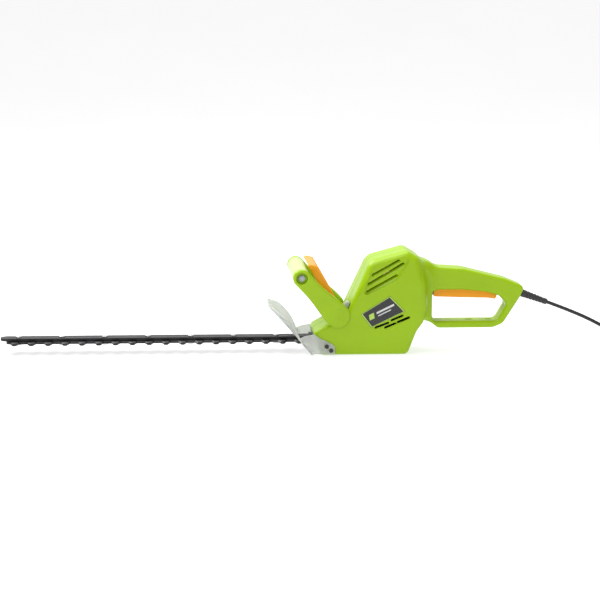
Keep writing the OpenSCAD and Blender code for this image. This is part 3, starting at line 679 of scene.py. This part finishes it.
GUARD = [
    (0, -44, 4), (16, -46, 20), (46, -68, 20), (78, -66, 24), (101, -34, 22),
    (101, 34, 22), (78, 66, 24), (46, 68, 20), (16, 46, 20), (0, 44, 4),
]
WING = [
    (-86, 3, 2), (-51, 1.5, 2), (-52.6, 15.5, 3), (-62.4, 21.7, 3), (-74.6, 27, 4), (-84, 34, 3),
    (-100, 31, 3), (-108, 27, 1.5),
]
GUARD_FOOT = (-85.2, 2)
GUARD_TILT = math.radians(47.6)
GUARD_T = 2.5
GUARD_BEND = 8.5
WING_Y = 43.55


def guard():
    """The clear guard: a plate whose sides bend back towards the handle, and a wing at each side"""

    def distance(x, y, z):
        side = np.abs(y)
        px, pz = x - GUARD_FOOT[0], z - GUARD_FOOT[1]
        up = -px * math.cos(GUARD_TILT) + pz * math.sin(GUARD_TILT)
        back = px * math.sin(GUARD_TILT) + pz * math.cos(GUARD_TILT)
        bend = GUARD_BEND * smooth(side, 20, 72) * smooth(up, 14, 60)
        plate = slab(outline_distance(rounded(GUARD), up, y), back + GUARD_T / 2 - bend, GUARD_T / 2, 0.9)
        wing = slab(outline_distance(rounded(WING), x, z), side - WING_Y, GUARD_T / 2, 0.8)
        form = join(plate, wing, 2.5)
        form = cut(form, box(x, y, z, (-125, -31, 11), (-75, 31, 27.4)), 0.6)
        for at in GUARD_SCREWS:
            form = cut(form, rod(x, z, at, 2.15) + 0 * y, 0.3)
        return form

    piece = field_piece("guard", (-163, -70, -1), (-49, 70, 86), 0.85, distance, rounds=2)
    return finish_piece(piece, "root", "clear_plastic", ["hand_guard"])


# ---- Pieces bevelled from their CAD shape ----


def bevelled(name, nodes, width, body, material=None, segments=3, change=None, angle=28):
    """A copy of CAD nodes with clean faces and rounded edges. change first moves its points"""
    bm = bmesh.new()
    for node in nodes:
        bm.from_mesh(frame["nodes"][node].data)
    bmesh.ops.remove_doubles(bm, verts=bm.verts, dist=2e-6)
    bmesh.ops.dissolve_limit(bm, angle_limit=math.radians(0.6), verts=bm.verts, edges=bm.edges)
    if change:
        for vert in bm.verts:
            vert.co = Vector(change(*(vert.co / MM))) * MM
    mesh = bpy.data.meshes.new(name)
    bm.to_mesh(mesh)
    bm.free()
    obj = new_piece(name, mesh)
    slots = {s["node"]: s["material_slot"] for s in frame["record"]["subparts"]}
    modifier = obj.modifiers.new("edges", "BEVEL")
    modifier.width = width * MM
    modifier.segments = segments
    modifier.limit_method = "ANGLE"
    modifier.angle_limit = math.radians(angle)
    modifier.harden_normals = False
    modifier.use_clamp_overlap = True
    apply_modifiers(obj)
    soften(obj, 32)
    return finish_piece(obj, body, slots[nodes[0]], nodes, material)


def apply_modifiers(obj):
    graph = bpy.context.evaluated_depsgraph_get()
    mesh = bpy.data.meshes.new_from_object(obj.evaluated_get(graph))
    obj.modifiers.clear()
    old, obj.data = obj.data, mesh
    bpy.data.meshes.remove(old)


def ground(face_z):
    """Grinds the flanks of the teeth on one face of a blade"""

    def change(x, y, z):
        if abs(z - face_z) > 0.05 or x > -96 or abs(y) < 13.3:
            return x, y, z
        tooth = -106 - 25.9 * round((-106 - x) / 25.9)
        if abs(y) > 27:
            return tooth + (x - tooth) * 0.55, math.copysign(abs(y) - 0.9, y), z
        return tooth + math.copysign(abs(x - tooth) - 1.7, x - tooth), y, z

    return change


def shortened(x, y, z):
    """Ends the arms' screws inside the body's wall, under the arms' feet that run out into it"""
    return x, max(-ARM_SCREW_END, min(ARM_SCREW_END, y)), z


# ---- Labels ----

LABEL = [(4.5, 43.5), (57, 69), (33, 93), (-12, 65)]
LABEL_Y = 42.45
PRINT_T = 0.12


def label_print(name, side):
    """A plain rim, a square and two stripes, standing just proud of the label"""
    outline = [Vector(p) for p in LABEL]
    y = side * LABEL_Y
    bm = bmesh.new()

    def rings(*loops):
        return [
            [bm.verts.new(Vector((p.x, place, p.y)) * MM) for p in loop]
            for place in (y, y + side * PRINT_T)
            for loop in loops
        ]

    def sides_between(first, second):
        pairs = [(i, (i + 1) % 4) for i in range(4)]
        return [bm.faces.new((first[i], first[k], second[k], second[i])) for i, k in pairs]

    middle = sum(outline, Vector((0, 0))) / 4
    out_low, in_low, out_high, in_high = rings(
        [middle + (p - middle) * 0.985 for p in outline], [middle + (p - middle) * 0.93 for p in outline]
    )
    for first, second in ((out_low, in_low), (out_high, in_high), (out_low, out_high), (in_low, in_high)):
        sides_between(first, second)
    along = (outline[1] - outline[0]).normalized()
    up = Vector((-along.y, along.x))

    def bar(centre, half_long, half_tall, lean, colour=1):
        corners = ((-1, -1), (1, -1), (1, 1), (-1, 1))
        low, high = rings([
            centre + along * s * half_long + up * t * half_tall + along * t * lean for s, t in corners
        ])
        for face in [bm.faces.new(low), bm.faces.new(high)] + sides_between(low, high):
            face.material_index = colour

    bar(middle + along * -17 + up * 1, 4.2, 4.2, 1.2, 0)
    bar(middle + along * 7 + up * 2.6, 15, 1.5, 0.6)
    bar(middle + along * 3.4 + up * -2.4, 11, 0.8, 0.4)
    bmesh.ops.recalc_face_normals(bm, faces=bm.faces)
    mesh = bpy.data.meshes.new(name)
    bm.to_mesh(mesh)
    bm.free()
    mesh.materials.append(MATERIALS["label_print"])
    mesh.materials.append(MATERIALS["label_grey"])
    obj = bpy.data.objects.new(name, mesh)
    bpy.context.scene.collection.objects.link(obj)
    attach(obj, "root")
    return obj


# ---- Cord ----

CORD_POINTS = [
    (245.5, 0, 89.8), (266.6, 0, 82.1), (287.8, 0, 74.4), (310, 0, 66), (332, 0, 57.2),
    (352, 0, 48.4), (370, -0.3, 39.4), (388, -1, 29.6), (405, -2, 20), (422, -3.5, 11.6),
    (438, -6, 5.6), (453, -11, 3.2), (467, -20, 2.9), (477, -32, 2.8), (481, -46, 2.8),
    (478, -60, 2.8), (468, -71, 2.9), (454, -76, 3.6), (441, -74.5, 5.2), (431, -69, 6.6),
    (424, -63, 7.2),
]
CORD_DIAMETER = 5.5
BOOT_LENGTH = 45
BOOT_SLOTS = 6
BOOT_SLOT_PITCH = 5.4
BOOT_SLOT_DEPTH = 0.7


def cord_boot():
    """The tapered strain relief, with fine slots around it"""
    profile = [(2.8, -5.6), (6.3, -5.6), (6.3, -3.7), (4.6, -3.7), (4.6, 0.8), (5.6, 0.8), (6, 1.3), (6, 6)]
    for i in range(BOOT_SLOTS):
        place = 10 + BOOT_SLOT_PITCH * i
        radius = 6 - 1.4 * (place - 6) / (BOOT_LENGTH - 7)
        low = radius - BOOT_SLOT_DEPTH
        profile += [(radius, place - 1.1), (low, place - 0.7)]
        profile += [(low, place + 0.7), (radius - 0.05, place + 1.1)]
    profile += [(4.6, BOOT_LENGTH - 1), (4.3, BOOT_LENGTH - 0.2), (4.0, BOOT_LENGTH), (2.8, BOOT_LENGTH)]
    axis = (math.cos(EXIT_DROP), 0, -math.sin(EXIT_DROP))
    boot = lathe("strain_relief", profile, (EXIT[0], 0, EXIT[1]), axis, 48)
    soften(boot)
    return finish_piece(boot, "root", "boot_rubber", ["cord_boot"])


def cord():
    curve = bpy.data.curves.new("mains_cord", "CURVE")
    curve.dimensions = "3D"
    curve.bevel_depth = CORD_DIAMETER / 2 * MM
    curve.bevel_resolution = 6
    curve.use_fill_caps = True
    spline = curve.splines.new("BEZIER")
    spline.bezier_points.add(len(CORD_POINTS) - 1)
    spline.resolution_u = 8
    for point, place in zip(spline.bezier_points, CORD_POINTS):
        point.co = Vector(place) * MM
        point.handle_left_type = point.handle_right_type = "AUTO"
    obj = bpy.data.objects.new("mains_cord", curve)
    bpy.context.scene.collection.objects.link(obj)
    curve.materials.append(MATERIALS["cord_rubber"])
    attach(obj, "root")
    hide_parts("cord_run")


# ---- Stage ----


def add_stage():
    """A pale floor that curves up into a backdrop far behind the object"""
    bm = bmesh.new()
    rows = [(-6, 0), (3, 0)]
    rows += [(3 + 3 * math.sin(a), 3 - 3 * math.cos(a)) for a in (math.pi / 2 * i / 16 for i in range(1, 17))]
    rows.append((6, 8))
    left = [bm.verts.new((-9, y, z - 0.0002)) for y, z in rows]
    right = [bm.verts.new((9, y, z - 0.0002)) for y, z in rows]
    for i in range(len(rows) - 1):
        bm.faces.new((left[i], right[i], right[i + 1], left[i + 1]))
    mesh = bpy.data.meshes.new("floor")
    bm.to_mesh(mesh)
    bm.free()
    floor = new_piece("floor", mesh)
    material, tree, shader, coords = new_material("floor")
    tone = blend_colours(tree, noise(tree, coords, 3), (0.38, 0.38, 0.38), (0.4, 0.4, 0.4))
    tree.links.new(tone, shader.inputs["Base Color"])
    shader.inputs["Emission Color"].default_value = (1, 1, 1, 1)
    shader.inputs["Emission Strength"].default_value = 0.7
    shader.inputs["Roughness"].default_value = 0.85
    mesh.materials.append(material)


def add_light(name, place, size, power, aim=(-0.1, 0, 0.06)):
    light = bpy.data.lights.new(name, "AREA")
    light.shape = "RECTANGLE"
    light.size, light.size_y = size
    light.energy = power
    obj = bpy.data.objects.new(name, light)
    bpy.context.scene.collection.objects.link(obj)
    obj.location = place
    obj.rotation_euler = (Vector(aim) - Vector(place)).to_track_quat("-Z", "Y").to_euler()


def add_lights():
    add_light("key", (-0.9, -1.1, 2.2), (1.6, 1.0), 24)
    add_light("top", (-0.2, 0.5, 2.4), (2.4, 1.4), 52)
    add_light("front", (0.7, -2.6, 0.9), (2.2, 1.2), 9)
    add_light("rear", (-1.3, 0.9, 1.5), (1.2, 0.8), 26)
    world = bpy.data.worlds.new("world")
    bpy.context.scene.world = world
    world.use_nodes = True
    background = world.node_tree.nodes["Background"]
    background.inputs["Color"].default_value = (1, 1, 1, 1)
    background.inputs["Strength"].default_value = 0.36
    bpy.context.scene.view_settings.view_transform = "Standard"


# ---- Build ----

add_camera()
plug = bevelled("plug", ["plug_body"], 1.8, "root")
boot = cord_boot()
cord()
paint_cad_nodes()
housing_half(-1)
housing_half(1)
front_arm(-1)
front_arm(1)
grip_tube()
switch_bar()
bevelled("trigger", ["rear_trigger"], 1.6, "trigger")
bevelled("rod_cover", ["rod_boot"], 1.4, "root")
guard()
bevelled("bar", ["guide_bar"], 0.5, "root")
bevelled("blade_upper", ["upper_blade"], 0.15, "upper_blade_body", segments=2, change=ground(20.2), angle=50)
bevelled("blade_lower", ["lower_blade"], 0.15, "lower_blade_body", segments=2, change=ground(16.0), angle=50)
bevelled("bolts", ["blade_bolts"], 0.5, "root")
bevelled("arm_screws", ["front_handle_screws"], 0.2, "root", change=shortened)
bevelled("guard_screw_heads", ["guard_screws"], 0.5, "root")
bevelled("tie_rod", ["grip_tie_rod"], 0.5, "root", "boss_grey")
label_print("label_marks_left", -1)
label_print("label_marks_right", 1)
add_stage()
add_lights()

bpy.context.view_layer.update()
